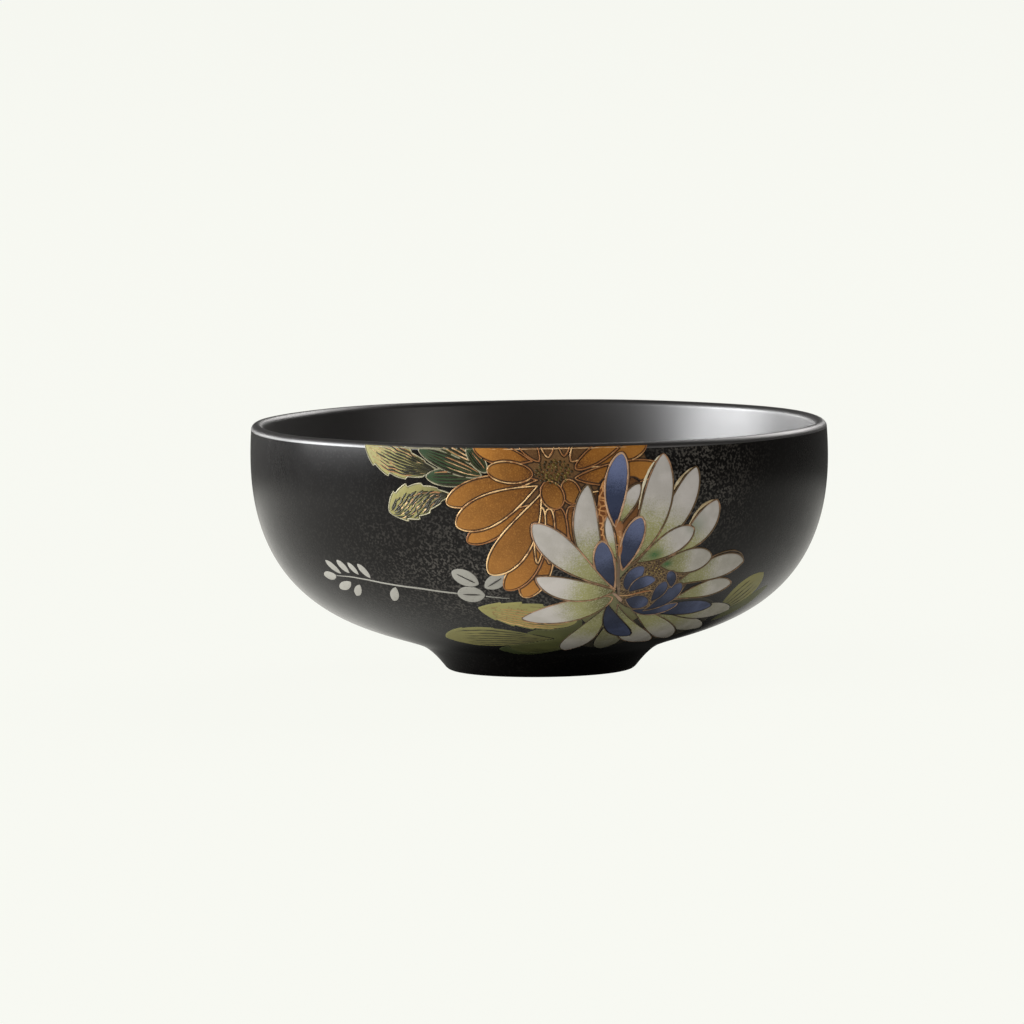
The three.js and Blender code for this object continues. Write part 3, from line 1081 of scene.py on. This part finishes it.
low_leaves = [
    {"root": (2.0, -8.8), "tip": (-14.4, -5.9), "width": 7.7, "belly": 0.44, "teeth": 5,
     "bite": 0.12, "shade": 1.1, "veins": hatched(7, 0.05, 0.86, -0.4, 0.8, 1.2),
     "shadows": hatched(3, 0.0, 0.6, -0.8, 0.5, 0.7)},
    {"root": (-1.0, -15.4), "tip": (-21.2, -18.9), "width": 10.5, "bow": -0.05, "teeth": 4,
     "bite": 0.05, "shade": 0.7, "shadows": hatched(7, 0.1, 0.9, -0.8, 0.7, 1.1)},
    {"root": (3.0, -6.0), "tip": (-7.0, -25.5), "width": 12.0, "shade": 0.42},
    {"root": (3.0, -22.0), "tip": (-11.5, -24.4), "width": 9.0, "shade": 0.3},
    {"root": (28.8, -13.2), "tip": (36.6, -6.6), "width": 7.4, "belly": 0.55, "shade": 0.7,
     "shadows": hatched(4, 0.1, 0.85, -0.6, 0.6, 0.9)},
    {"root": (29.5, -17.5), "tip": (40.0, -12.0), "width": 4.6, "belly": 0.5, "shade": 0.4},
]
paint(leaf_green, leaf_lines, low_leaves, outlined=0, vein_lines=rust_lines,
      shadow_lines=leaf_shadows, rows=90, columns=49)


def leaf_enamel():
    """Leaf enamel: the shade of each leaf runs from dark emerald through green to yellow
    green, with rust blotches on the yellow ones, a pale rim and a dark root."""
    finish = Finish("leaf_enamel", {"Specular IOR Level": 0.35})
    shade, edge = finish.field("shade"), finish.field("edge")
    spray = finish.noise(0.4, 3, 0.65)
    cloud = finish.noise(2.6)
    dark = finish.mix(cloud, (0.012, 0.036, 0.012), (0.04, 0.075, 0.024))
    green = finish.mix(cloud, (0.07, 0.074, 0.022), (0.15, 0.15, 0.048))
    yellow = finish.mix(cloud, (0.2, 0.195, 0.058), (0.42, 0.375, 0.14))
    colour = finish.mix(finish.fit(shade, 0.12, 0.5), dark, green)
    colour = finish.mix(finish.fit(shade, 0.5, 0.85), colour, yellow)
    rust = finish.sum(finish.fit(spray, 0.5, 0.62), finish.fit(edge, 0.4, 1.4), "MULTIPLY")
    rust = finish.sum(rust, finish.fit(shade, 0.6, 0.9, 0, 0.6), "MULTIPLY")
    colour = finish.mix(rust, colour, (0.2, 0.08, 0.022))
    colour = finish.mix(finish.fit(edge, 0.02, 0.3, 0.5, 0), colour, (0.2, 0.21, 0.11))
    root = finish.fit(finish.field("along"), 0.1, 0.6, 0.5, 0)
    root = finish.sum(root, finish.fit(shade, 0.9, 1.1, 1, 0.2), "MULTIPLY")
    colour = finish.mix(root, colour, (0.035, 0.036, 0.014))
    normal = finish.bump(spray, 0.014)
    return finish.wear(colour, finish.fit(cloud, 0.3, 0.7, 0.42, 0.55), normal)


leaf_green.skin("leaves", leaf_enamel(), "leaf_enamel")
leaf_gilt = gilding("leaf_gilding", (0.52, 0.48, 0.32), (0.3, 0.28, 0.19))
vein_gilt = gilding("vein_gilding", (0.84, 0.55, 0.29), (0.38, 0.19, 0.08))
rust_brush = gilding("rust_strokes", (0.8, 0.48, 0.2), (0.46, 0.27, 0.1))
shadow_green = gilding("leaf_shadow", (0.045, 0.042, 0.015), (0.02, 0.018, 0.008))


LIP_BAND = (12, 30)  # heights on the sheet between which the lip's edge is looked for


def lip_path(left, right):
    """The lip's edge on the sheet: for each x, the y whose direction rises to the lip."""
    x, y = np.linspace(left, right, 120), np.linspace(*LIP_BAND, 73)
    rises = climb(np.stack(np.meshgrid(x, y, indexing="ij"), -1))
    edge = [np.interp(LIP_ANGLE - LIP_MARGIN, rise, y) for rise in rises]
    return np.stack([x, edge], 1)


gilt(leaf_lines, lip_path(-34.0, -15.4), 1.1, on_top=True)
gilt(lip_lines, lip_path(-15.6, 11.6), 0.6, on_top=True)
leaf_lines.piece("leaf_gilt_lines", leaf_gilt)
lip_lines.piece("lip_gilt_line", vein_gilt)
vein_lines.piece("vein_gilt_lines", vein_gilt)
rust_lines.piece("rust_strokes", rust_brush, "leaf_enamel")
leaf_shadows.piece("leaf_shadow_lines", shadow_green, "leaf_enamel")

# Grey sprig
# A thin stem with small leaves runs out to the left of the flowers, in flat pale grey
# enamel with no line round it.
SPRIG_RISE = 0.06
sprig = Painting(SHAPE_FIELDS)
sprig_veins = Painting()
sprig_leaves = petals(
    ((-14.1, -0.7), (-18.4, 1.1), 3.2),
    ((-13.1, -2.7), (-17.6, -3.3), 3.6),
    ((-13.1, -1.3), (-9.9, 1.5), 2.8),
    veins=[(0.12, 0.0, 0.82, 0.0, 1.2)], belly=0.52, point=0.56,
)
sprig_leaves += petals(
    ((-38.6, -6.2), (-41.9, -4.8), 1.7),
    ((-36.8, -5.2), (-39.3, -3.4), 1.7),
    ((-34.9, -4.7), (-37.0, -2.9), 1.4),
    ((-32.6, -4.5), (-35.0, -2.3), 1.6),
    ((-39.8, -7.2), (-42.7, -9.0), 2.1),
    ((-36.8, -7.2), (-39.6, -10.6), 1.9),
    ((-35.0, -7.0), (-36.3, -10.6), 1.6),
    ((-28.1, -4.7), (-28.9, -8.4), 1.8),
    belly=0.55, point=0.56,
)
sprig_stem = np.array([
    (-39.9, -7.3), (-36.6, -5.9), (-33.4, -5.1), (-28.3, -4.3),
    (-23.7, -3.6), (-17.6, -3.2), (-13.0, -3.0), (-9.2, -3.1),
])
paint(sprig, sprig_veins, sprig_leaves, outlined=0, rise=SPRIG_RISE, vein_lines=sprig_veins)
gilt(sprig_veins, brush(12, (-13.1, -1.0), (-12.4, -1.6), (-11.6, -3.0)), 1.2)


def flat_stroke(painting, path, width, rise):
    """A flat brush line: a ribbon carried along the path that swells from its edges."""
    path = even_steps(path, GILT_STEP)
    along = np.gradient(path, axis=0)
    along /= np.hypot(along[:, 0], along[:, 1])[:, None]
    left = np.stack([-along[:, 1], along[:, 0]], 1)
    v = np.sin(np.linspace(-np.pi / 2, np.pi / 2, 9))
    t = np.linspace(0, 1, len(path))
    half = width / 2 * np.sin(np.linspace(0.15, np.pi - 0.15, len(path))) ** 0.3
    places = path[:, None] + v[None, :, None] * (half[:, None] * left)[:, None]
    enamel(painting, (places, t, v, half), 0.5, rise)


flat_stroke(sprig, even_steps(sprig_stem, 1.0), 0.6, SPRIG_RISE)


def sprig_enamel():
    """Thin pale grey enamel that lets the black glaze through in small worn dots."""
    finish = Finish("grey_enamel", {"Specular IOR Level": 0.3})
    spray = finish.noise(0.3, 3, 0.7)
    cloud = finish.noise(3.0)
    colour = finish.mix(cloud, (0.29, 0.28, 0.25), (0.41, 0.4, 0.36))
    colour = finish.mix(finish.fit(spray, 0.55, 0.75, 0, 0.5), colour, (0.06, 0.058, 0.05))
    return finish.wear(colour, finish.fit(cloud, 0.3, 0.7, 0.5, 0.6), finish.bump(spray, 0.012))


sprig.skin("grey_sprig", sprig_enamel(), "grey_enamel")
sprig_dark = gilding("sprig_veins", (0.05, 0.046, 0.038), (0.03, 0.027, 0.023))
sprig_veins.piece("sprig_veins", sprig_dark)

# Floor and light
# A pale floor of even brightness, a softbox on the left, smaller lamps behind the cup and
# low on the right, a broad key lamp that is kept out of mirror images, and a dim room. What
# the cup mirrors of the floor comes from a card that darkens towards the cup, as its shade
# would. Sizes here are in metres.
FLOOR_SIZE = 16
FLOOR_DEPTH = 0.00005  # a hair under the foot, so that the two don't coincide
CARD_DEPTH = 0.001
LAMP_AIM = np.array([0, 0, 0.03])
ROOM_STRENGTH = 0.06
SHADE_SHIFT = 0.0085  # the cup's shade lies a little towards +X, away from the softbox


def area_light(name, place, size, radiance, colour):
    """A soft rectangular lamp that faces the cup. Its power is pi times its area times its
    radiance."""
    data = bpy.data.lights.new(name, "AREA")
    data.shape = "RECTANGLE"
    data.size, data.size_y = size
    data.energy = np.pi * size[0] * size[1] * radiance
    data.color = colour
    lamp = bpy.data.objects.new(name, data)
    bpy.context.collection.objects.link(lamp)
    lamp.location = place
    run = LAMP_AIM - np.array(place)
    run /= np.linalg.norm(run)
    lamp.rotation_euler = (np.arccos(-run[2]), 0, np.arctan2(run[1], run[0]) - np.pi / 2)
    return lamp


area_light("left_softbox", (-2.94, -0.08, 0.6), (2.3, 0.95), 17, (0.98, 0.99, 1))
area_light("back_left_lamp", (-1.7, 1.85, 0.3), (0.8, 0.4), 7, (1, 0.99, 0.98))
area_light("right_fill", (1.53, -1.28, 0.36), (0.8, 0.3), 2.1, (1, 0.95, 0.9))
area_light("back_lamp", (0.97, 1.39, 1.06), (1.3, 0.8), 4, (1, 0.98, 0.96))
key = area_light("key", (-0.67, -1.07, 1.01), (2.2, 1.6), 1.45, (1, 0.99, 0.97))
key.visible_glossy = False


def stage_square(name, depth, material):
    """A square board round the origin."""
    half = FLOOR_SIZE / 2
    corners = [(-half, -half, -depth), (half, -half, -depth)]
    corners += [(half, half, -depth), (-half, half, -depth)]
    mesh = bpy.data.meshes.new(name)
    mesh.from_pydata(corners, [], [(0, 1, 2, 3)])
    mesh.materials.append(material)
    board = bpy.data.objects.new(name, mesh)
    bpy.context.collection.objects.link(board)
    return board


def floor_paint():
    """Off-white board of even brightness, with a faint grain."""
    finish = Finish("pale_floor", {"Specular IOR Level": 0.05, "Emission Strength": 0.93})
    finish.give(finish.shader.inputs["Emission Color"], (0.985, 0.995, 0.935))
    cloud = finish.noise(180)
    colour = finish.mix(cloud, (0.012, 0.012, 0.011), (0.014, 0.014, 0.013))
    return finish.wear(colour, 0.9, finish.bump(finish.noise(2), 0.01))


def card_paint():
    """Brightness of a lit table: almost none in the cup's own shade, full beyond it, less
    on the side away from the softbox, and little where the lamps no longer reach."""
    finish = Finish("shaded_card", {"Specular IOR Level": 0.0, "Emission Strength": 1.0})
    middle = (SHADE_SHIFT, 0, 0)
    ends = {0: finish.place(), 1: middle}
    distance = finish.node("VectorMath", ends, 1, operation="DISTANCE")
    open_share = finish.fit(distance, 0.02, 0.046, 0.02, 1)
    far_share = finish.fit(distance, 0.16, 0.34, 1, 0.12)
    open_share = finish.sum(open_share, far_share, "MULTIPLY")
    across = finish.node("SeparateXYZ", {"Vector": finish.place()}, "X")
    side_share = finish.fit(across, -0.04, 0.14, 1, 0.55)
    open_share = finish.sum(open_share, side_share, "MULTIPLY")
    glow = finish.mix(open_share, (0.0, 0.0, 0.0), (0.9, 0.89, 0.83))
    finish.give(finish.shader.inputs["Emission Color"], glow)
    return finish.wear((0.01, 0.01, 0.01), 1.0)


floor = stage_square("floor", FLOOR_DEPTH, floor_paint())
floor.visible_diffuse = False
floor.visible_glossy = False
card = stage_square("shade_card", CARD_DEPTH, card_paint())
card.visible_camera = False

world = bpy.data.worlds.new("room")
world.use_nodes = True
room = world.node_tree.nodes["Background"].inputs
room["Color"].default_value = (1, 0.99, 0.97, 1)
room["Strength"].default_value = ROOM_STRENGTH
bpy.context.scene.world = world
